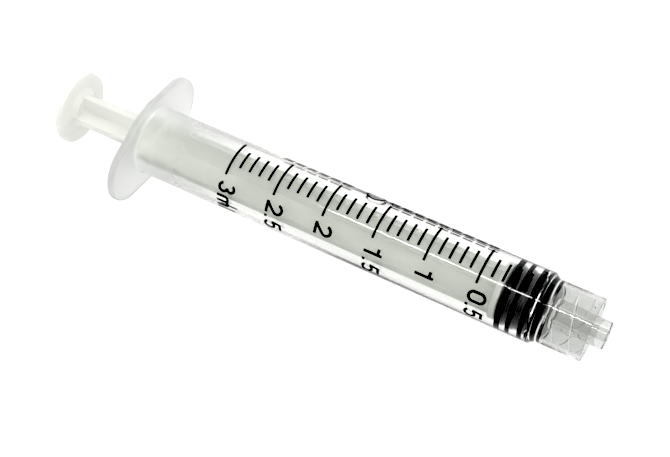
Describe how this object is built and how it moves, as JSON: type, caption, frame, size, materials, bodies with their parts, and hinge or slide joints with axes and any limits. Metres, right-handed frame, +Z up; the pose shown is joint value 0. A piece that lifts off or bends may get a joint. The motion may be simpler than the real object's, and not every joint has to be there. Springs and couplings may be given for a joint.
{
  "type": "oral syringe",
  "caption": "Clear plastic syringe with a finger flange, a sliding plunger with a black rubber stopper, a printed dose scale and a Luer lock outlet.",
  "frame": {"origin": "centre of the outlet's end face, on the barrel's axis", "axes": "+X along the barrel towards the outlet, Y along the finger flange's wings, +Z up when the syringe lies on a table, through the middle of the printed scale"},
  "size_m": [0.0865, 0.0222, 0.0132],
  "materials": {
    "clear_polypropylene": "clear moulded plastic",
    "milky_polypropylene": "milky translucent moulded plastic",
    "black_rubber": "smooth siliconed rubber",
    "black_ink": "printed ink"
  },
  "bodies": {
    "barrel": {"barrel": "clear_polypropylene", "long_lines": "black_ink", "short_lines": "black_ink", "side_print": "black_ink", "numeral_3ml": "black_ink", "numeral_2_5": "black_ink", "numeral_2": "black_ink", "numeral_1_5": "black_ink", "numeral_1": "black_ink", "numeral_0_5": "black_ink"},
    "stopper": {"stopper": "black_rubber"},
    "plunger_rod": {"plunger_rod": "milky_polypropylene"}
  },
  "joints": [
    {"name": "plunger_slide", "type": "slide", "parent": "barrel", "child": "stopper", "axis": [-1, 0, 0], "range_m": [0, 0.0546]},
    {"name": "rod_turn", "type": "hinge", "parent": "stopper", "child": "plunger_rod", "pos_m": [-0.012, 0, 0], "axis": [1, 0, 0], "continuous": true}
  ]
}
